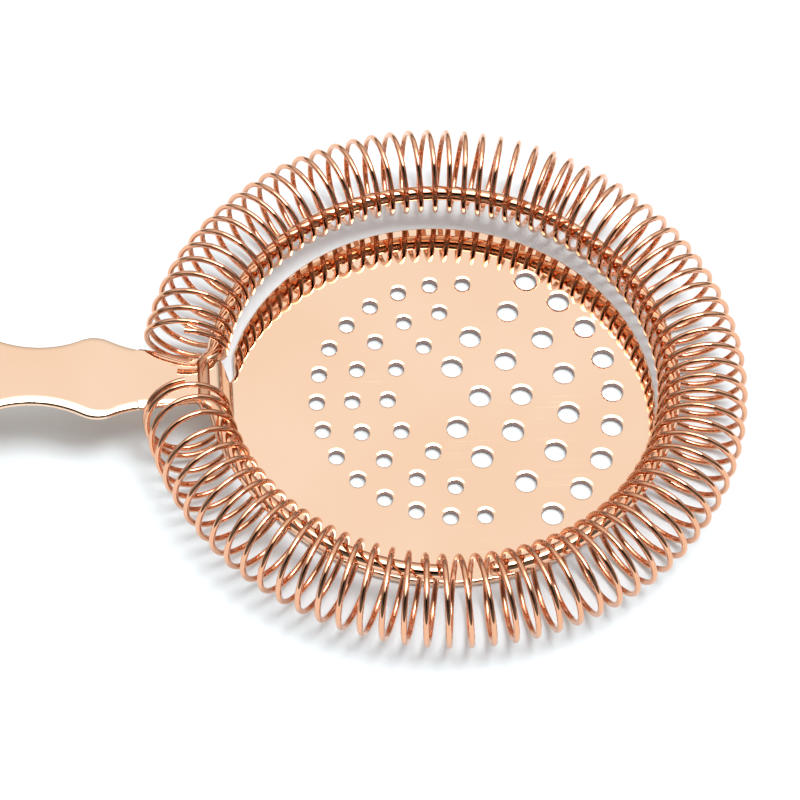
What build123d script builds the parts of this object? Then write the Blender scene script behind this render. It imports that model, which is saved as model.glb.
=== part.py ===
"""Hawthorne cocktail strainer: a pierced disc with its handle, a split ring and a coil spring.

Millimetres. The origin is the centre of the disc's underside, +Z is up, and the handle
points along -X. The disc, neck and handle are one stamping. A round rod, split on the -Y
side, is brazed to the neck and carries a long coil spring that is threaded on through
the split.
"""
import os
from math import acos, asin, atan2, cos, degrees, hypot, radians, sin, tan

from build123d import *

# Sheet that the disc, neck and handle are stamped from
sheet_thickness = 1.2
edge_rounding = 0.35
disc_radius = 34.6

# Drain holes: wide ones in arcs towards the pour side, narrow ones in arcs towards the handle
wide_hole_radius = 1.725
wide_arc_radii = [27.75, 20.6, 13.0, 6.3]
wide_arc_counts = [9, 6, 5, 3]
wide_arc_steps = [13.81, 21.45, 32.1, 69.5]
narrow_hole_radius = 1.25
narrow_arc_radii = [22.7, 17.0, 11.3]
narrow_arc_counts = [15, 9, 5]
narrow_arc_steps = [13.78, 21.07, 32.54]
narrow_arcs_shift = 2.7
hole_edge_rounding = 0.2

# Neck: a step up from the disc to the handle, which starts just inside the disc's rim
bend_inset = 1.6
bend_radius = 1.3
step_run = 1.5
step_rise = 7.5
neck_half_width = 4.2
neck_length = 7.0
neck_flare_radius = 2.5

# Handle: two scallops behind the neck, then a slim grip that widens to a round end
handle_slope = 7.2
handle_length = 114.0
waist_half_width = 5.45
waist_distance = 5.3
scallop_pitch = 19.0
scallop_count = 2
scallop_hollow_radius = 16.0
scallop_peak_radius = 5.0
handle_end_radius = 10.0
hang_hole_radius = 3.0
hang_hole_inset = 9.5

# Split ring: a rod that stands over the disc's rim, a little below the top of the neck
rod_radius = 1.2
rod_overhang = 0.8
rod_sink = 0.2
neck_joint_angle = 170.0
joint_bend_radius = 4.0
joint_bend = 60.0
long_arm_end = -82.0
short_arm_end = -95.0
rod_end_rounding = 0.9

# Coil spring, bent round into a circle that is open at the handle and hangs on the ring
wire_radius = 0.47
coil_radius = 6.62
rod_clearance = 0.27
spring_sag = 0.1
spring_droop = 0.83
spring_side_droop = 0.35
spring_turns = 87
spring_start = -170.15
turn_pitch = 4.008
turn_gather = 1.425
gather_phase = 33.0
turn_wander = 0.587
wander_phase = -16.1

# The end turns: the first is closed up on the second, the last few close up more gradually
first_pitch = 1.35
closing_turn = 84
closing_pitch = 3.3
closed_turn = 85.25
last_pitch = 1.65
near_cut_lean = 2.4
far_cut_lean = 3.8

os.makedirs("parts", exist_ok=True)


def on_circle(radius, angle, height=0.0):
    """The point at this radius and angle about the strainer's axis."""
    return (radius * cos(radians(angle)), radius * sin(radians(angle)), height)


def line_normal(above, above_radius, below, below_radius, side):
    """The angle of the normal of the line that passes under one circle and over another."""
    across, up = above[0] - below[0], above[1] - below[1]
    lean = acos((above_radius + below_radius) / hypot(across, up))
    return degrees(atan2(up, across) + side * lean)


# ---------------------------------------------------------------- disc, neck and handle
bend_start = disc_radius - bend_inset
handle_end = bend_start + handle_length
bend_corner = bend_start + bend_radius * tan(atan2(step_rise, step_run) / 2)
step_corner = bend_corner + step_run
sheet_middle = sheet_thickness / 2
handle_rise = tan(radians(handle_slope)) * (handle_end + sheet_thickness - step_corner)
grip_centre = handle_end - handle_end_radius
hang_hole_reach = handle_end - hang_hole_inset
hang_hole_rise = tan(radians(handle_slope)) * (hang_hole_reach - step_corner)
handle_plane = Plane(
    (-hang_hole_reach, 0, sheet_middle + step_rise + hang_hole_rise),
    z_dir=(sin(radians(handle_slope)), 0, cos(radians(handle_slope))),
)

hollow_height = waist_half_width + scallop_hollow_radius
scallop_turn = asin(scallop_pitch / 2 / (scallop_hollow_radius + scallop_peak_radius))
peak_height = hollow_height - (scallop_hollow_radius + scallop_peak_radius) * cos(scallop_turn)
scallop_turn = degrees(scallop_turn)

neck_end = bend_start + neck_length
first_waist = neck_end + waist_distance
last_waist = first_waist + scallop_count * scallop_pitch
neck_normal = line_normal(
    (-first_waist, hollow_height), scallop_hollow_radius, (-neck_end, neck_half_width), 0, -1
)
grip_normal = line_normal(
    (-last_waist, hollow_height), scallop_hollow_radius, (-grip_centre, 0), handle_end_radius, 1
)

with BuildPart() as disc_and_handle:
    # the bent strip seen from the side, as wide as the handle's widest place
    with BuildSketch(Plane.XZ):
        with BuildLine():
            FilletPolyline(
                (-bend_start + bend_radius, sheet_middle),
                (-bend_corner, sheet_middle),
                (-step_corner, sheet_middle + step_rise),
                (-handle_end - sheet_thickness, sheet_middle + step_rise + handle_rise),
                radius=bend_radius,
            )
        trace(line_width=sheet_thickness)
    extrude(amount=disc_radius, both=True)

    # cut to the outline of the neck and handle
    with BuildSketch():
        with BuildLine():
            root = -bend_start + bend_radius
            flare = neck_half_width + neck_flare_radius
            Line((root, 0), (root, flare))
            Line((root, flare), (-bend_start, flare))
            CenterArc(
                (-bend_start - neck_flare_radius, flare), neck_flare_radius, 0, -90
            )
            Line((-bend_start - neck_flare_radius, neck_half_width), (-neck_end, neck_half_width))
            first_hollow = CenterArc(
                (-first_waist, hollow_height),
                scallop_hollow_radius,
                neck_normal + 180,
                90 - scallop_turn - neck_normal,
            )
            Line((-neck_end, neck_half_width), first_hollow @ 0)
            for number in range(scallop_count):
                peak = -first_waist - (number + 0.5) * scallop_pitch
                CenterArc(
                    (peak, peak_height), scallop_peak_radius, 90 - scallop_turn, 2 * scallop_turn
                )
                last = number == scallop_count - 1
                hollow_end = grip_normal - 90 if last else -scallop_turn
                hollow = CenterArc(
                    (peak - scallop_pitch / 2, hollow_height),
                    scallop_hollow_radius,
                    270 + scallop_turn,
                    hollow_end - scallop_turn,
                )
            round_end = CenterArc(
                (-grip_centre, 0), handle_end_radius, grip_normal, 180 - grip_normal
            )
            Line(hollow @ 1, round_end @ 0)
            mirror(about=Plane.XZ)
        make_face()
    extrude(amount=2 * (step_rise + handle_rise + sheet_thickness), mode=Mode.INTERSECT)

    # the disc, cut straight where the neck leaves it
    with BuildSketch():
        Circle(disc_radius)
        with Locations((-bend_start, 0)):
            Rectangle(
                disc_radius, 2 * disc_radius, align=(Align.MAX, Align.CENTER), mode=Mode.SUBTRACT
            )
    extrude(amount=sheet_thickness)

    # every outer edge of the stamping is tumbled round
    edges = disc_and_handle.edges()
    fillet(edges - edges.filter_by(Axis.Y) - edges.filter_by(Axis.Z), radius=edge_rounding)

    # drain holes, their upper rims rolled over by the punch
    with BuildSketch():
        for arc_radius, count, step in zip(wide_arc_radii, wide_arc_counts, wide_arc_steps):
            span = (count - 1) * step
            with PolarLocations(arc_radius, count, -span / 2, span, endpoint=True):
                Circle(wide_hole_radius)
        with Locations((narrow_arcs_shift, 0)):
            narrow_arcs = zip(narrow_arc_radii, narrow_arc_counts, narrow_arc_steps)
            for arc_radius, count, step in narrow_arcs:
                span = (count - 1) * step
                with PolarLocations(arc_radius, count, 180 - span / 2, span, endpoint=True):
                    Circle(narrow_hole_radius)
    extrude(amount=sheet_thickness, mode=Mode.SUBTRACT)
    rims = disc_and_handle.edges(Select.LAST).filter_by(GeomType.CIRCLE)
    fillet(rims.group_by(Axis.Z)[-1], radius=hole_edge_rounding)

    # hanging hole, square to the handle
    with BuildSketch(handle_plane):
        Circle(hang_hole_radius)
    extrude(amount=sheet_thickness, both=True, mode=Mode.SUBTRACT)

disc_and_handle.part.label = "disc_and_handle"
export_step(disc_and_handle.part, "parts/disc_and_handle.step")


# ---------------------------------------------------------------- split ring
ring_radius = disc_radius + rod_overhang + rod_radius
ring_height = sheet_middle + step_rise - rod_sink

arms = [("ring_long_arm", 1, long_arm_end), ("ring_short_arm", -1, short_arm_end)]
for arm_name, side, free_end in arms:
    with BuildPart() as ring_arm:
        with BuildLine(Plane.XY.offset(ring_height)) as rod_path:
            joint_angle = side * neck_joint_angle
            bow = CenterArc((0, 0), ring_radius, joint_angle, free_end - joint_angle)
            toward_neck = on_circle(side, joint_angle + 90)
            JernArc(bow @ 0, toward_neck, joint_bend_radius, -side * joint_bend)
        free_face = Plane(bow @ 1, z_dir=bow % 1)
        with BuildSketch(free_face):
            Circle(rod_radius)
        sweep(path=rod_path.wires()[0])
        free_end_face = ring_arm.faces().sort_by_distance(free_face.origin)[0]
        fillet(free_end_face.edges(), radius=rod_end_rounding)

        # the neck end is cut flush with the neck's side edge and brazed there
        with Locations((-ring_radius, 0, ring_height)):
            Box(8 * rod_radius, 2 * neck_half_width, 4 * rod_radius, mode=Mode.SUBTRACT)

    ring_arm.part.label = arm_name
    export_step(ring_arm.part, f"parts/{arm_name}.step")


# ---------------------------------------------------------------- coil spring
inner_radius = ring_radius - rod_radius - rod_clearance - wire_radius
spring_circle_radius = inner_radius + coil_radius
outer_radius = spring_circle_radius + coil_radius
spring_height = ring_height - spring_sag
spring_plane = Plane.XY.offset(spring_height).rotated((spring_side_droop, spring_droop, 0))


def drawn_together(around, phase):
    """How far a wave has moved the turns on from where it started."""
    return cos(radians(around + phase)) - cos(radians(phase))


def turn_angle(turn):
    """The angle that the wire has reached after this many turns."""
    if turn < 1:
        return turn_angle(1) - first_pitch * (1 - turn)
    if turn > closed_turn:
        return turn_angle(closed_turn) + last_pitch * (turn - closed_turn)
    if turn > closing_turn:
        return turn_angle(closing_turn) + closing_pitch * (turn - closing_turn)
    around = 360 * (turn - 1) / spring_turns
    even = spring_start + turn_pitch * (turn - 1)
    gathered = turn_gather * drawn_together(around, gather_phase)
    return even - gathered + turn_wander * drawn_together(2 * around, wander_phase)


def half_turn(start, end, rise):
    """Half of a turn, in the upright plane through its two ends."""
    middle_x, middle_y = (start[0] + end[0]) / 2, (start[1] + end[1]) / 2
    reach = hypot(end[0] - start[0], end[1] - start[1]) / 2
    return ThreePointArc(start, (middle_x, middle_y, rise * reach), end)


with BuildPart() as coil_spring:
    with BuildLine(spring_plane) as wire_path:
        # the wire climbs inside, passes over the top, and goes down outside
        outside = on_circle(outer_radius, turn_angle(0))
        near_cut = on_circle(spring_circle_radius, turn_angle(0) - near_cut_lean, coil_radius)
        TangentArc(outside, near_cut, tangent=(0, 0, 1))
        for turn in range(1, spring_turns):
            inside = on_circle(inner_radius, turn_angle(turn - 0.5))
            half_turn(outside, inside, -1)
            outside = on_circle(outer_radius, turn_angle(turn))
            half_turn(inside, outside, 1)
        last_angle = turn_angle(spring_turns - 0.5)
        inside = on_circle(inner_radius, last_angle)
        half_turn(outside, inside, -1)
        far_cut = on_circle(spring_circle_radius, last_angle + far_cut_lean, coil_radius)
        TangentArc(inside, far_cut, tangent=(0, 0, 1))
    wire = wire_path.wires()[0]
    with BuildSketch(Plane(wire @ 0, z_dir=wire % 0)):
        Circle(wire_radius)
    sweep(path=wire)

coil_spring.part.label = "coil_spring"
export_step(coil_spring.part, "parts/coil_spring.step")
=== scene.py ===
from math import acos, asin, atan2, cos, hypot, pi, radians, sin, tan

import bmesh
import bpy
from mathutils import Matrix, Vector


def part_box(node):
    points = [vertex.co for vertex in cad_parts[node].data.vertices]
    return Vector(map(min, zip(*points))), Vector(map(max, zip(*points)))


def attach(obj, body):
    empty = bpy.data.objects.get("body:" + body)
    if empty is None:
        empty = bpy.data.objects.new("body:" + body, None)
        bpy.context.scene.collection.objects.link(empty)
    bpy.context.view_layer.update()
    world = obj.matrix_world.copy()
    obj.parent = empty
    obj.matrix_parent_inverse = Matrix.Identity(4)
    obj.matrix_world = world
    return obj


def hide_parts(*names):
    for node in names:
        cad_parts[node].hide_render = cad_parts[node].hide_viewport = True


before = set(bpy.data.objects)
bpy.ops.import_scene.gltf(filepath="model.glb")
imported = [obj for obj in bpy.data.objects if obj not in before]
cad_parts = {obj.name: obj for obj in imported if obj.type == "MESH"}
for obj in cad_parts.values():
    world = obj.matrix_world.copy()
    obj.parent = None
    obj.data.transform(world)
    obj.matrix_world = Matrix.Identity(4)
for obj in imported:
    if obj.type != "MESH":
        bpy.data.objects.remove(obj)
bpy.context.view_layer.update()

# ---------------------------------------------------------------- camera
# The strainer is looked at from the near side and well above. Disc and spring fill the view,
# and the handle runs out of it on the left.
mm = 0.001

camera_place = Vector((-38.27, -263.43, 389.51)) * mm
camera_right = Vector((0.9970277, -0.0688818, 0.0345113))
camera_up = Vector((0.0375532, 0.8256235, 0.5629703))
camera_lens = 131.82
camera_sensor = 36.0
camera_nearest = 10 * mm

bpy.ops.object.select_all(action="DESELECT")
bpy.ops.object.camera_add(location=camera_place)
camera = bpy.context.object
camera_axes = Matrix((camera_right, camera_up, camera_right.cross(camera_up))).transposed()
camera.rotation_euler = camera_axes.to_euler()
camera.data.lens = camera_lens
camera.data.sensor_width = camera_sensor
camera.data.clip_start = camera_nearest
bpy.context.scene.camera = camera
bpy.context.scene.view_settings.view_transform = "Standard"


# ---------------------------------------------------------------- disc, neck and handle
# One stamping of 1.2 mm stainless sheet, polished and plated rose gold. It is blanked, the
# handle's upper edges are buffed round, the drain holes are punched from above, and the neck is
# folded up in two bends, so that the handle starts level with the ring.
sheet_low, sheet_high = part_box("disc_and_handle")
disc_radius = sheet_high.x
handle_end = -sheet_low.x
sheet_thickness = 1.2 * mm

# the blank's outline, and the steps that its arcs are drawn in
neck_half_width = 4.2 * mm
neck_length = 7.0 * mm
neck_flare_radius = 2.5 * mm
waist_half_width = 5.45 * mm
waist_distance = 5.3 * mm
scallop_pitch = 19.0 * mm
scallop_count = 2
scallop_hollow_radius = 16.0 * mm
scallop_peak_radius = 5.0 * mm
handle_end_radius = 10.0 * mm
disc_step = 0.8 * mm
flare_step = 0.3 * mm
handle_step = 0.5 * mm
fewest_arc_steps = 6

# points nearer than this are one point, and points this near to a cut lie on it
touching = 1e-6
cut_slack = 1e-7

# its edges
edge_roll = 1.8 * mm
edge_fall = 0.42 * mm
crown_rounding = 0.42 * mm
edge_rounding = 0.3 * mm
rounding_segments = 5
sharp_edge = radians(60)
smooth_edge = radians(40)

# its holes: each arc has a radius, a number of holes and the degrees from one to the next
wide_hole_radius = 1.725 * mm
wide_arcs = [
    (27.75 * mm, 9, 13.81),
    (20.6 * mm, 6, 21.45),
    (13.0 * mm, 5, 32.1),
    (6.3 * mm, 3, 69.5),
]
narrow_hole_radius = 1.25 * mm
narrow_arcs = [(22.7 * mm, 15, 13.78), (17.0 * mm, 9, 21.07), (11.3 * mm, 5, 32.54)]
narrow_arcs_shift = 2.7 * mm
hang_hole_radius = 3.0 * mm
hang_hole_inset = 9.5 * mm
hole_sides = 40
rim_roll = 0.6 * mm
rim_fall = 0.17 * mm
rim_rounding = 0.1 * mm

# its two bends, and the groove for the ring
bend_inset = 1.6 * mm
bend_radius = 1.3 * mm
step_run = 1.5 * mm
step_rise = 7.5 * mm
handle_slope = radians(7.2)
bend_cuts = 12
rod_crossing = 37.93 * mm
groove_half_width = 0.95 * mm
groove_depth = 0.5 * mm


def choose(piece):
    """Leaves one piece selected and no other."""
    bpy.ops.object.select_all(action="DESELECT")
    piece.select_set(True)
    bpy.context.view_layer.objects.active = piece


def edit(piece):
    """Opens one piece in edit mode with nothing on it selected."""
    choose(piece)
    bpy.ops.object.mode_set(mode="EDIT")
    bpy.ops.mesh.select_mode(type="VERT")
    bpy.ops.mesh.select_all(action="DESELECT")


def finish_edit():
    bpy.ops.object.mode_set(mode="OBJECT")


def pick(piece, wanted):
    """In edit mode, leaves selected only the vertices whose place is wanted."""
    mesh = bmesh.from_edit_mesh(piece.data)
    for vertex in mesh.verts:
        vertex.select_set(wanted(vertex.co))
    mesh.select_flush_mode()
    mesh.select_flush(True)
    bmesh.update_edit_mesh(piece.data)


def apply_modifier(piece, kind, **settings):
    choose(piece)
    bpy.ops.object.modifier_add(type=kind)
    modifier = piece.modifiers[-1]
    for setting, value in settings.items():
        setattr(modifier, setting, value)
    bpy.ops.object.modifier_apply(modifier=modifier.name)


def cut_out(piece, tool):
    """Cuts the shape of a tool out of a piece, and takes the tool away."""
    apply_modifier(piece, "BOOLEAN", object=tool, operation="DIFFERENCE", solver="EXACT")
    bpy.data.objects.remove(tool)


def settle(piece, name):
    """Names a piece and puts its place into its mesh."""
    choose(piece)
    bpy.ops.object.transform_apply(location=True, rotation=True, scale=True)
    piece.name = name
    piece.data.name = name


def extrude(step):
    bpy.ops.mesh.extrude_region_move(TRANSFORM_OT_translate={"value": step})


def line_to(pen, x, y):
    """Draws a straight edge on from the selected vertex, and gives where it ends."""
    step = Vector((x, y, 0)) - pen
    extrude(step)
    return pen + step


def arc_about(pen, x, y, turn, step_length):
    """Draws an arc on about a centre, anticlockwise if turn is positive, and gives where it ends."""
    centre = Vector((x, y, 0))
    arm = pen - centre
    steps = max(fewest_arc_steps, round(abs(turn) * arm.length / step_length))
    bpy.ops.mesh.spin(steps=steps, angle=-turn, center=centre, axis=(0, 0, 1))
    return centre + Matrix.Rotation(turn, 3, "Z") @ arm


def line_normal(above, above_radius, below, below_radius, side):
    """The angle of the normal of the line that passes under one circle and over another."""
    across, up = above[0] - below[0], above[1] - below[1]
    lean = acos((above_radius + below_radius) / hypot(across, up))
    return atan2(up, across) + side * lean


def round_edges(height, radius):
    """Rounds the sharp edges of the stamping that lie at one height."""
    edit(stamping)
    bpy.ops.mesh.select_mode(type="EDGE")
    bpy.ops.mesh.edges_select_sharp(sharpness=sharp_edge)
    mesh = bmesh.from_edit_mesh(stamping.data)
    for edge in mesh.edges:
        middle = (edge.verts[0].co + edge.verts[1].co) / 2
        if edge.select and abs(middle.z - height) > radius / 4:
            edge.select_set(False)
    bmesh.update_edit_mesh(stamping.data)
    bpy.ops.mesh.bevel(
        offset=radius, segments=rounding_segments, affect="EDGES", clamp_overlap=False
    )
    finish_edit()


def punch_row(arc_radius, count, step, middle, shift, hole_radius):
    """Shouldered punches on an arc about a point on the X axis, with angles in degrees."""
    first = radians(middle - (count - 1) * step / 2)
    bpy.ops.object.select_all(action="DESELECT")
    bpy.ops.mesh.primitive_cylinder_add(
        vertices=hole_sides,
        radius=hole_radius,
        depth=2 * sheet_thickness - rim_fall,
        location=(shift + arc_radius * cos(first), arc_radius * sin(first), -rim_fall / 2),
    )
    row = bpy.context.object
    edit(row)
    pick(row, lambda place: place.z > 0)
    extrude((0, 0, rim_fall))
    shoulder = 1 + rim_roll / hole_radius
    bpy.ops.transform.resize(value=(shoulder, shoulder, 1), center_override=row.location)
    extrude((0, 0, sheet_thickness))
    bpy.ops.mesh.select_all(action="SELECT")
    if count > 1:
        bpy.ops.mesh.spin(
            steps=count - 1,
            dupli=True,
            angle=-(count - 1) * radians(step),
            center=(shift, 0, 0),
            axis=(0, 0, 1),
        )
    finish_edit()
    return row


def fold(start, turn):
    """Folds the stamping in a bend that starts this far out on -X, up if turn is positive."""
    length = abs(turn) * bend_radius
    places = [start + length * number / bend_cuts for number in range(bend_cuts + 1)]
    edit(stamping)
    for place in places:
        bpy.ops.mesh.select_all(action="SELECT")
        bpy.ops.mesh.bisect(plane_co=(-place, 0, 0), plane_no=(1, 0, 0))
    for number, place in reversed(list(enumerate(places))):
        # the first cut and the last one turn by half a step each
        share = 0.5 if number in (0, bend_cuts) else 1.0
        pick(stamping, lambda spot: spot.x < -place + cut_slack)
        bpy.ops.transform.rotate(
            value=-share * turn / bend_cuts,
            orient_axis="Y",
            center_override=(-place, 0, sheet_thickness / 2),
        )
    finish_edit()


# half the blank's outline is drawn from the pour side round to the handle's end, and mirrored
bend_start = disc_radius - bend_inset
neck_end = bend_start + neck_length
first_waist = neck_end + waist_distance
last_waist = first_waist + scallop_count * scallop_pitch
grip_centre = handle_end - handle_end_radius
hollow_height = waist_half_width + scallop_hollow_radius
scallop_turn = asin(scallop_pitch / 2 / (scallop_hollow_radius + scallop_peak_radius))
peak_height = hollow_height - (scallop_hollow_radius + scallop_peak_radius) * cos(scallop_turn)
neck_normal = line_normal(
    (-first_waist, hollow_height), scallop_hollow_radius, (-neck_end, neck_half_width), 0, -1
)
grip_normal = line_normal(
    (-last_waist, hollow_height), scallop_hollow_radius, (-grip_centre, 0), handle_end_radius, 1
)
hollow_start = neck_normal + pi

bpy.ops.object.select_all(action="DESELECT")
bpy.ops.mesh.primitive_circle_add(vertices=3, radius=mm, location=(0, 0, 0))
stamping = bpy.context.object
edit(stamping)
bpy.ops.mesh.select_all(action="SELECT")
bpy.ops.mesh.merge(type="CENTER")
pick(stamping, lambda place: True)
pen = Vector((disc_radius, 0, 0))
bpy.ops.transform.translate(value=pen)
pen = arc_about(pen, 0, 0, acos(-bend_start / disc_radius), disc_step)
pen = line_to(pen, -bend_start, neck_half_width + neck_flare_radius)
pen = arc_about(pen, -bend_start - neck_flare_radius, pen.y, -pi / 2, flare_step)
pen = line_to(pen, -neck_end, neck_half_width)
pen = line_to(
    pen,
    -first_waist + scallop_hollow_radius * cos(hollow_start),
    hollow_height + scallop_hollow_radius * sin(hollow_start),
)
pen = arc_about(
    pen, -first_waist, hollow_height, pi / 2 - scallop_turn - neck_normal, handle_step
)
for number in range(scallop_count):
    peak = -first_waist - (number + 0.5) * scallop_pitch
    pen = arc_about(pen, peak, peak_height, 2 * scallop_turn, handle_step)
    last = number == scallop_count - 1
    hollow_end = grip_normal - pi / 2 if last else -scallop_turn
    pen = arc_about(
        pen, peak - scallop_pitch / 2, hollow_height, hollow_end - scallop_turn, handle_step
    )
pen = line_to(
    pen,
    -grip_centre + handle_end_radius * cos(grip_normal),
    handle_end_radius * sin(grip_normal),
)
arc_about(pen, -grip_centre, 0, pi - grip_normal, handle_step)
finish_edit()
apply_modifier(
    stamping,
    "MIRROR",
    use_axis=(False, True, False),
    use_mirror_merge=True,
    merge_threshold=touching,
)

# the blank gets its thickness, and buffing rolls the handle's upper edges down
wall_height = sheet_thickness - edge_fall
edit(stamping)
bpy.ops.mesh.select_all(action="SELECT")
bpy.ops.mesh.edge_face_add()
extrude((0, 0, wall_height))
bpy.ops.mesh.select_all(action="SELECT")
bpy.ops.mesh.normals_make_consistent(inside=False)
pick(stamping, lambda place: place.z > wall_height / 2)
bpy.ops.mesh.inset(thickness=edge_roll, depth=edge_fall)
pick(
    stamping,
    lambda place: abs(place.z - wall_height) < edge_fall / 2
    and place.x > -disc_radius - neck_length,
)
bpy.ops.transform.translate(value=(0, 0, edge_fall))
finish_edit()
round_edges(wall_height, crown_rounding)
round_edges(sheet_thickness, crown_rounding)
round_edges(0, edge_rounding)

# the step takes up more sheet than its run, so the handle lies further out in the flat blank
bend_turn = atan2(step_rise, step_run)
bend_corner = bend_start + bend_radius * tan(bend_turn / 2)
step_corner = bend_corner + step_run
unbend_turn = bend_turn - handle_slope
unbend_tangent = bend_radius * tan(unbend_turn / 2)
handle_start = step_corner + unbend_tangent * cos(handle_slope)
wall_length = (
    hypot(step_run, step_rise) - bend_radius * tan(bend_turn / 2) - unbend_tangent
)
wall_start = bend_start + bend_radius * bend_turn
wall_end = wall_start + wall_length
flat_handle_start = wall_end + bend_radius * unbend_turn

edit(stamping)
pick(stamping, lambda place: place.x < -handle_start)
bpy.ops.transform.resize(
    value=(1 / cos(handle_slope), 1, 1), center_override=(-handle_start, 0, 0)
)
bpy.ops.transform.translate(value=(handle_start - flat_handle_start, 0, 0))
finish_edit()

# one set of punches makes all the holes; their shoulders roll the upper rims down
hang_hole_place = (handle_end - hang_hole_inset - handle_start) / cos(handle_slope)
hang_hole_arc = (hang_hole_place + flat_handle_start, 1, 0)
rows = [
    punch_row(*arc, middle=middle, shift=shift, hole_radius=hole_radius)
    for arcs, middle, shift, hole_radius in [
        (wide_arcs, 0, 0, wide_hole_radius),
        (narrow_arcs, 180, narrow_arcs_shift, narrow_hole_radius),
        ([hang_hole_arc], 180, 0, hang_hole_radius),
    ]
    for arc in arcs
]
bpy.ops.object.select_all(action="DESELECT")
for row in rows:
    row.select_set(True)
bpy.context.view_layer.objects.active = rows[0]
bpy.ops.object.join()
cut_out(stamping, bpy.context.object)
round_edges(sheet_thickness - rim_fall, rim_rounding)
round_edges(0, rim_rounding)

# the outer bend is folded down first, and then the inner one brings wall and handle up
fold(wall_end, -unbend_turn)
fold(bend_start, bend_turn)

# a shallow groove across the neck takes the ring's rod
neck_top = sheet_thickness / 2 + step_rise + (rod_crossing - step_corner) * tan(handle_slope)
neck_top += sheet_thickness / 2 / cos(handle_slope)
bpy.ops.object.select_all(action="DESELECT")
bpy.ops.mesh.primitive_cube_add(size=2, location=(-rod_crossing, 0, neck_top))
groove = bpy.context.object
groove.scale = (groove_half_width, disc_radius, groove_depth)
cut_out(stamping, groove)

bpy.ops.object.shade_smooth_by_angle(angle=smooth_edge)
apply_modifier(stamping, "WEIGHTED_NORMAL", mode="FACE_AREA", weight=100, keep_sharp=True)
settle(stamping, "stamped_disc_and_handle")
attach(stamping, "strainer_body")
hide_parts("disc_and_handle")

# The plating is a copper-rich gold. It carries faint smudges, a fine grain, and hairlines from
# wiping in two directions. It is thinner and paler along worn edges, and a little deeper in
# some patches.
sheet_colour = (0.93, 0.66, 0.48, 1)
# the colour of the holes' walls is painted shade
punched_wall_shade_colour = (0.28, 0.20, 0.19, 1)
worn_colour = (0.96, 0.78, 0.64, 1)
deeper_shade = (0.97, 0.94, 0.90, 1)
disc_edge_width = 2 * mm
upright = 0.3

# each pattern's cells in a metre and levels of detail, and where it starts to show and is full
grain_pattern = (3500, 3)
smudge_pattern, smudge_shows = (85, 6), (0.50, 0.72)
tint_pattern, tint_shows = (30, 4), (0.35, 0.65)
wave_pattern = (60, 2)
hairline_pattern, hairline_shows = (1, 1), (0.66, 0.74)
hairline_patch_pattern, hairline_patch_shows = (70, 2), (0.45, 0.62)
worn_patch_pattern, worn_patch_shows = (400, 4), (0.35, 0.6)
worn_edge_shows = (0.995, 0.93)
worn_edge_width = 0.3 * mm
hairline_stretch = (30, 4000, 4000)
hairline_tilt = (0.2, 0.1)
hairline_turns = (0.4, 2.1)

# how much the patterns roughen and lift the plating
smudge_roughness = 0.05
hairline_roughness = 0.15
grain_roughness = 0.02
grain_height = 0.25
bump_strength = 0.5
bump_depth = 0.004 * mm


def add_node(tree, kind, inputs, **settings):
    """Adds a node and gives its first output. An input is a constant or another node's output."""
    made = tree.nodes.new(kind)
    for setting, value in settings.items():
        setattr(made, setting, value)
    for socket, value in inputs.items():
        if isinstance(value, bpy.types.NodeSocket):
            tree.links.new(value, made.inputs[socket])
        else:
            made.inputs[socket].default_value = value
    return made.outputs[0]


def calculate(tree, operation, *values):
    return add_node(tree, "ShaderNodeMath", dict(enumerate(values)), operation=operation)


def agreement(tree, first, second):
    """The cosine of the angle between two directions."""
    directions = {0: first, 1: second}
    product = add_node(tree, "ShaderNodeVectorMath", directions, operation="DOT_PRODUCT")
    return product.node.outputs["Value"]


def mixed(tree, share, first, second):
    """One colour turning into another as the share goes from 0 to 1."""
    return add_node(
        tree, "ShaderNodeMixRGB", {"Fac": share, "Color1": first, "Color2": second}
    )


def graded(tree, source, start, end, low=0.0, high=1.0):
    """A soft step from low to high as the source value goes from start to end."""
    limits = {"From Min": start, "From Max": end, "To Min": low, "To Max": high}
    return add_node(
        tree, "ShaderNodeMapRange", {"Value": source, **limits}, interpolation_type="SMOOTHSTEP"
    )


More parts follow.
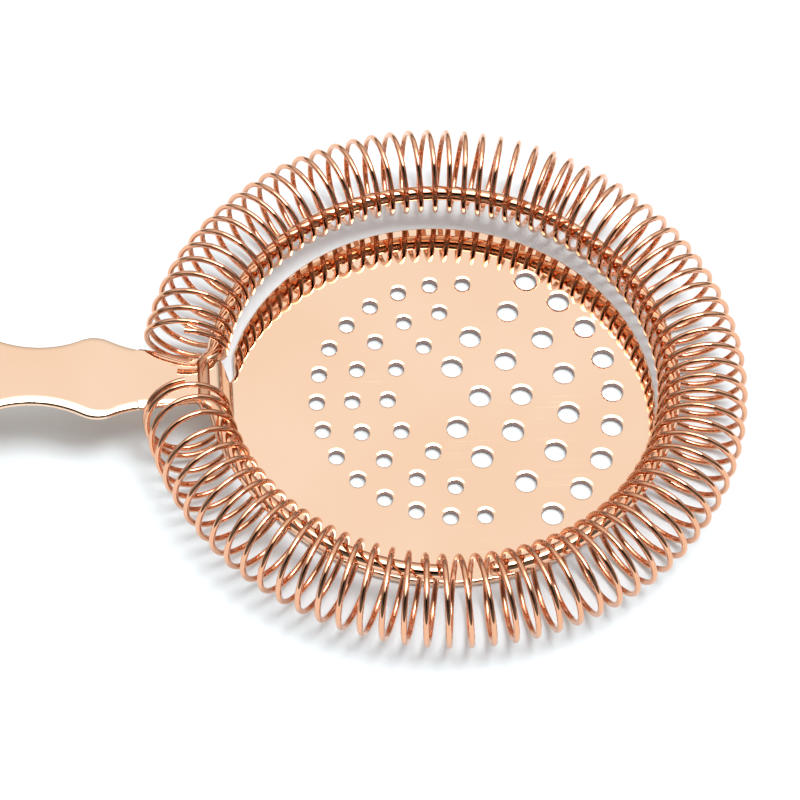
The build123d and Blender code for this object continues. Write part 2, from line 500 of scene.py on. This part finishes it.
def plated(name, colour, roughness, hairlines=0.0, wear=0.0, waviness=0.0):
    """Plate with grain and smudges, and as many hairlines, worn edges and waves as are asked."""
    finish = bpy.data.materials.new(name)
    finish.use_nodes = True
    tree = finish.node_tree
    place = tree.nodes.new("ShaderNodeTexCoord").outputs["Object"]

    def noise(pattern, source=place):
        cells, detail = pattern
        return add_node(
            tree, "ShaderNodeTexNoise", {"Vector": source, "Scale": cells, "Detail": detail}
        )

    def hairline_set(turn):
        """Straight hairlines that run one way, in patches."""
        drawn_out = {
            "Vector": place, "Rotation": (*hairline_tilt, turn), "Scale": hairline_stretch
        }
        drawn_out = add_node(tree, "ShaderNodeMapping", drawn_out)
        lines = graded(tree, noise(hairline_pattern, drawn_out), *hairline_shows)
        patches = graded(tree, noise(hairline_patch_pattern), *hairline_patch_shows)
        return calculate(tree, "MULTIPLY", lines, patches)

    grain = noise(grain_pattern)
    smudges = graded(tree, noise(smudge_pattern), *smudge_shows)
    tints = graded(tree, noise(tint_pattern), *tint_shows)
    waves = calculate(tree, "MULTIPLY", noise(wave_pattern), waviness)
    scratched = calculate(tree, "MAXIMUM", *[hairline_set(turn) for turn in hairline_turns])
    scratched = calculate(tree, "MULTIPLY", scratched, hairlines)

    deeper = tuple(channel * shade for channel, shade in zip(colour, deeper_shade))
    surface = mixed(tree, tints, colour, deeper)
    if wear:
        soft_normal = add_node(tree, "ShaderNodeBevel", {"Radius": worn_edge_width}, samples=3)
        true_normal = tree.nodes.new("ShaderNodeNewGeometry").outputs["Normal"]
        flatness = agreement(tree, soft_normal, true_normal)
        edges = graded(tree, flatness, *worn_edge_shows, high=wear)
        patches = graded(tree, noise(worn_patch_pattern), *worn_patch_shows)
        surface = mixed(tree, calculate(tree, "MULTIPLY", edges, patches), surface, worn_colour)

    rough = calculate(tree, "MULTIPLY_ADD", smudges, smudge_roughness, roughness)
    rough = calculate(tree, "MULTIPLY_ADD", scratched, hairline_roughness, rough)
    rough = calculate(tree, "MULTIPLY_ADD", grain, grain_roughness, rough)

    height = calculate(tree, "MULTIPLY", grain, grain_height)
    height = calculate(tree, "SUBTRACT", height, scratched)
    height = calculate(tree, "ADD", height, waves)
    relief = {"Height": height, "Strength": bump_strength, "Distance": bump_depth}
    shader = tree.nodes["Principled BSDF"]
    shader.inputs["Metallic"].default_value = 1
    tree.links.new(surface, shader.inputs["Base Color"])
    tree.links.new(rough, shader.inputs["Roughness"])
    tree.links.new(add_node(tree, "ShaderNodeBump", relief), shader.inputs["Normal"])
    return finish


# the punched walls of the drain holes are duller than the faces, and painted dark as shade, since
# they face the dim gap under the disc
plated_sheet = plated(
    "plated_sheet", sheet_colour, roughness=0.015, hairlines=0.8, wear=0.7, waviness=3.0
)
punched_wall_painted_shade = plated("punched_wall_painted_shade", punched_wall_shade_colour, roughness=0.32, hairlines=1.0)
stamping.data.materials.append(plated_sheet)
stamping.data.materials.append(punched_wall_painted_shade)
# the faces of the hole walls get the painted shade
for face in stamping.data.polygons:
    inside = hypot(face.center.x, face.center.y) < disc_radius - disc_edge_width
    if inside and abs(face.normal.z) < upright:
        face.material_index = 1


# ---------------------------------------------------------------- split ring
# A 2.4 mm rod bent to a ring that stands over the disc's rim. It swings out beside the neck,
# crosses it in a shallow groove and is brazed there, and it is split on the near side so that
# the spring can be screwed on. Both cut ends are dressed round.
long_low, long_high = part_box("ring_long_arm")
rod_radius = (long_high.z - long_low.z) / 2
ring_height = (long_high.z + long_low.z) / 2
ring_radius = long_high.x - rod_radius
split_start = radians(-95)
split_end = radians(-82)
neck_joint_angle = radians(170)
swing_radius = 3.0 * mm
crossing_bend_radius = 1.6 * mm
crossing_bend_end = crossing_bend_radius - rod_crossing
rod_end_rounding = 0.9 * mm
rod_sides = 28
rod_step = radians(1.5)
rod_bend_steps = 14
rod_end_steps = 6
# the rod's plating colour is painted darker and redder than the sheet's, as shade for the dim inside
# of the coil
rod_shaded_colour = (0.87, 0.50, 0.32, 1)
# the colour at the brazed crossing is painted shade
braze_shade_colour = (0.62, 0.34, 0.21, 1)


def on_circle(radius, angle, height=0.0):
    return Vector((radius * cos(angle), radius * sin(angle), height))


def swing(side):
    """How far the rod turns out beside the neck, and the centres of its two bends there."""
    out_centre = on_circle(ring_radius + swing_radius, side * neck_joint_angle, ring_height)
    both = swing_radius + crossing_bend_radius
    heading = acos((crossing_bend_end - out_centre.x) / both)
    in_centre = out_centre + Vector((cos(heading), -side * sin(heading), 0)) * both
    return heading - (pi - neck_joint_angle), out_centre, in_centre


def dress_end(arm, middle, outward):
    """Rounds the open end of the rod that faces outward."""
    pick(
        arm,
        lambda place: (place - middle).length < rod_radius + touching
        and abs((place - middle).dot(outward)) < touching,
    )
    done, size = 0, 1
    for number in range(1, rod_end_steps + 1):
        lean = number * pi / (2 * rod_end_steps)
        reach = rod_end_rounding * sin(lean)
        wanted = 1 - rod_end_rounding * (1 - cos(lean)) / rod_radius
        extrude(outward * (reach - done))
        bpy.ops.transform.resize(
            value=(wanted / size,) * 3, center_override=middle + outward * reach
        )
        done, size = reach, wanted
    bpy.ops.mesh.edge_face_add()


def ring_arm(name, side, free_end):
    """One arm of the ring, from its dressed end round to the neck on side 1 or -1."""
    bow = side * neck_joint_angle - free_end
    turn_out, out_centre, in_centre = swing(side)
    turn_in = turn_out + pi - neck_joint_angle
    free_middle = on_circle(ring_radius, free_end, ring_height)
    bpy.ops.object.select_all(action="DESELECT")
    bpy.ops.mesh.primitive_circle_add(
        vertices=rod_sides,
        radius=rod_radius,
        location=free_middle,
        rotation=(pi / 2, 0, free_end),
    )
    arm = bpy.context.object
    bpy.ops.object.transform_apply(location=True, rotation=True, scale=True)

    # the bow round the disc, and then the bends out and in beside the neck
    edit(arm)
    bpy.ops.mesh.select_all(action="SELECT")
    for steps, angle, centre in [
        (round(abs(bow) / rod_step), -bow, (0, 0, ring_height)),
        (rod_bend_steps, side * turn_out, out_centre),
        (rod_bend_steps, -side * turn_in, in_centre),
    ]:
        bpy.ops.mesh.spin(steps=steps, angle=angle, center=centre, axis=(0, 0, 1))
    if side > 0:
        # this arm runs on across the neck to meet the other one
        extrude((0, -2 * in_centre.y, 0))
    bpy.ops.mesh.edge_face_add()
    dress_end(arm, free_middle, on_circle(-1 if bow > 0 else 1, free_end + pi / 2))
    bpy.ops.mesh.select_all(action="SELECT")
    bpy.ops.mesh.normals_make_consistent(inside=False)
    finish_edit()
    bpy.ops.object.shade_smooth_by_angle(angle=smooth_edge)
    settle(arm, name)
    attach(arm, "strainer_body")
    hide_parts(name.replace("brazed", "ring"))
    return arm


long_arm = ring_arm("brazed_long_arm", 1, split_end)
short_arm = ring_arm("brazed_short_arm", -1, split_start)

# where it crosses the neck the rod is rougher, and painted brown as shade for the spring's dark
# reflections in it
plated_rod = plated("plated_rod", rod_shaded_colour, roughness=0.03, hairlines=0.5)
brazed_joint_painted_shade = plated("brazed_joint_painted_shade", braze_shade_colour, roughness=0.16, hairlines=0.6)
for arm in (long_arm, short_arm):
    arm.data.materials.append(plated_rod)
    arm.data.materials.append(brazed_joint_painted_shade)
    for face in arm.data.polygons:
        if face.center.x < crossing_bend_end and abs(face.center.y) < neck_half_width:
            face.material_index = 1


# ---------------------------------------------------------------- coil spring
# One 0.94 mm spring steel wire, wound in 87 turns and bent round into a circle that is open at
# the handle. It is screwed onto the ring and hangs on it, drooping a little on the pour side,
# with its first and last turns closed up against their neighbours.
wire_radius = 0.47 * mm
# the wire's plating colour is painted darker and redder than the sheet's, as shade for the dim,
# many-times-reflected inside of the coil
wire_shaded_colour = (0.80, 0.42, 0.26, 1)
coil_radius = 6.62 * mm
rod_clearance = 0.27 * mm
spring_sag = 0.1 * mm
spring_droop = radians(0.83)
spring_side_droop = radians(0.35)
spring_turns = 87

# where the turns lie: angles round the ring in degrees, from the near end to the far one
spring_start = -170.15
turn_pitch = 4.008
turn_gather = 1.425
gather_phase = 33.0
turn_wander = 0.587
wander_phase = -16.1
first_pitch = 1.35
closing_turn = 84
closing_pitch = 3.3
closed_turn = 85.25
last_pitch = 1.65
pitch_smoothing = (-0.2, -0.1, 0, 0.1, 0.2)
near_lean = 2.4
near_lean_turns = (2, 5.5)
far_lean = 4.0
far_lean_turns = (82.3, 87.5)
slack = 0.4 * mm
slack_angle = radians(-60)
first_cut = -0.25
last_cut = spring_turns - 0.25
steps_per_turn = 44
wire_resolution = 4
wire_smooth_edge = radians(50)

inner_radius = ring_radius - rod_radius - rod_clearance - wire_radius
spring_radius = inner_radius + coil_radius
hang = (
    Matrix.Translation((0, 0, ring_height - spring_sag))
    @ Matrix.Rotation(spring_side_droop, 4, "X")
    @ Matrix.Rotation(spring_droop, 4, "Y")
)


def drawn_together(around, phase):
    """How far a wave has moved the turns on from where it started."""
    return cos(radians(around + phase)) - cos(radians(phase))


def turn_angle(turn):
    """The angle in degrees that the wire has reached after this many turns."""
    if turn < 1:
        return turn_angle(1) - first_pitch * (1 - turn)
    if turn > closed_turn:
        return turn_angle(closed_turn) + last_pitch * (turn - closed_turn)
    if turn > closing_turn:
        return turn_angle(closing_turn) + closing_pitch * (turn - closing_turn)
    around = 360 * (turn - 1) / spring_turns
    even = spring_start + turn_pitch * (turn - 1)
    gathered = turn_gather * drawn_together(around, gather_phase)
    return even - gathered + turn_wander * drawn_together(2 * around, wander_phase)


def eased(start, end, value):
    """A soft step from 0 to 1 as the value goes from start to end."""
    share = min(max((value - start) / (end - start), 0), 1)
    return share * share * (3 - 2 * share)


def wire_place(turn):
    """The middle of the wire after so many turns; it climbs inside and goes down outside."""
    around = 2 * pi * turn
    rise = -sin(around)
    angle = sum(turn_angle(turn + step) for step in pitch_smoothing) / len(pitch_smoothing)
    angle -= near_lean * (1 - eased(*near_lean_turns, turn)) * rise
    angle += far_lean * eased(*far_lean_turns, turn) * (1 + rise) / 2
    angle = radians(angle)
    outside = (1 + cos(around)) / 2
    out = spring_radius + coil_radius * cos(around) + slack * cos(angle - slack_angle) * outside
    return hang @ on_circle(out, angle, coil_radius * rise)


wire_steps = round((last_cut - first_cut) * steps_per_turn)
bpy.ops.object.select_all(action="DESELECT")
bpy.ops.curve.primitive_nurbs_path_add()
wire = bpy.context.object
wire.data.splines.clear()
route = wire.data.splines.new("POLY")
route.points.add(wire_steps)
for number, point in enumerate(route.points):
    turn = first_cut + (last_cut - first_cut) * number / wire_steps
    point.co = (*wire_place(turn), 1)
wire.data.dimensions = "3D"
wire.data.bevel_depth = wire_radius
wire.data.bevel_resolution = wire_resolution
wire.data.use_fill_caps = True
wire.data.twist_mode = "MINIMUM"
bpy.ops.object.convert(target="MESH")
spring = bpy.context.object
edit(spring)
bpy.ops.mesh.select_all(action="SELECT")
bpy.ops.mesh.remove_doubles(threshold=touching)
bpy.ops.mesh.normals_make_consistent(inside=False)
finish_edit()
bpy.ops.object.shade_smooth_by_angle(angle=wire_smooth_edge)
settle(spring, "wound_spring")
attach(spring, "spring")
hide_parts("coil_spring")
# the wire is plated in its darkened colour, which is painted shade
spring.data.materials.append(plated("plated_wire", wire_shaded_colour, roughness=0.03))


# ---------------------------------------------------------------- floor and light
# A white sweep that glows a little, so that only the strainer's shadow shows on it. The room is
# pale behind, dimmer low down and in front, and dark only where the viewer stands, and a bright
# panel and a soft lamp hang overhead.
floor_size = 6
floor_drop = 0.1 * mm
floor_colour = (0.66, 0.72, 0.75, 1)
floor_glow = 0.10

# how bright each part of the room is, and the cosines between which it begins; then the lamp
back_light, back_begins = 1.3, (-0.4, 0.15)
low_light, wall_rises = 0.22, (0.1, 0.7)
front_light = 0.18
viewer_light, viewer_begins = 0.03, (0.84, 0.93)
panel_light, panel_begins = 4.0, (0.88, 0.95)
lamp_place = Vector((0.25, -0.05, 0.9))
lamp_size = 0.36
lamp_energy = 5.5

bpy.ops.object.select_all(action="DESELECT")
bpy.ops.mesh.primitive_plane_add(size=floor_size, location=(0, 0, -floor_drop))
floor = bpy.context.object
floor.name = "floor"
floor_white = bpy.data.materials.new("floor_white")
floor_white.use_nodes = True
tree = floor_white.node_tree
tree.nodes.clear()
path = tree.nodes.new("ShaderNodeLightPath").outputs
seen = calculate(tree, "MAXIMUM", path["Is Camera Ray"], path["Is Glossy Ray"])
seen = calculate(tree, "MAXIMUM", seen, path["Is Transmission Ray"])
glowing = calculate(tree, "MULTIPLY", seen, floor_glow)
diffuse = add_node(tree, "ShaderNodeBsdfDiffuse", {"Color": floor_colour})
glow = add_node(tree, "ShaderNodeEmission", {"Strength": glowing})
floor_surface = add_node(tree, "ShaderNodeAddShader", {0: diffuse, 1: glow})
floor_output = tree.nodes.new("ShaderNodeOutputMaterial")
tree.links.new(floor_surface, floor_output.inputs["Surface"])
floor.data.materials.append(floor_white)

world = bpy.data.worlds.new("studio")
bpy.context.scene.world = world
world.use_nodes = True
tree = world.node_tree
tree.nodes.clear()
direction = tree.nodes.new("ShaderNodeTexCoord").outputs["Generated"]
split = tree.nodes.new("ShaderNodeSeparateXYZ")
tree.links.new(direction, split.inputs[0])
walls = graded(tree, split.outputs["Y"], *back_begins, high=back_light)
horizon = graded(tree, split.outputs["Z"], *wall_rises, low=low_light)
facing_viewer = agreement(tree, direction, camera_place.normalized())
viewer = graded(tree, facing_viewer, *viewer_begins, low=1.0, high=viewer_light)
room = calculate(tree, "MAXIMUM", calculate(tree, "MULTIPLY", walls, horizon), front_light)
room = calculate(tree, "MULTIPLY", room, viewer)
panel = graded(tree, split.outputs["Z"], *panel_begins, high=panel_light)
light = calculate(tree, "ADD", room, panel)
sky = add_node(tree, "ShaderNodeBackground", {"Strength": light})
white = add_node(tree, "ShaderNodeBackground", {"Color": (1, 1, 1, 1)})
camera_ray = tree.nodes.new("ShaderNodeLightPath").outputs["Is Camera Ray"]
shown = add_node(tree, "ShaderNodeMixShader", {0: camera_ray, 1: sky, 2: white})
world_output = tree.nodes.new("ShaderNodeOutputWorld")
tree.links.new(shown, world_output.inputs["Surface"])

bpy.ops.object.light_add(type="AREA", location=lamp_place)
softbox = bpy.context.object
softbox.name = "softbox"
softbox.rotation_euler = (-lamp_place).to_track_quat("-Z", "Y").to_euler()
softbox.data.size = lamp_size
softbox.data.energy = lamp_energy
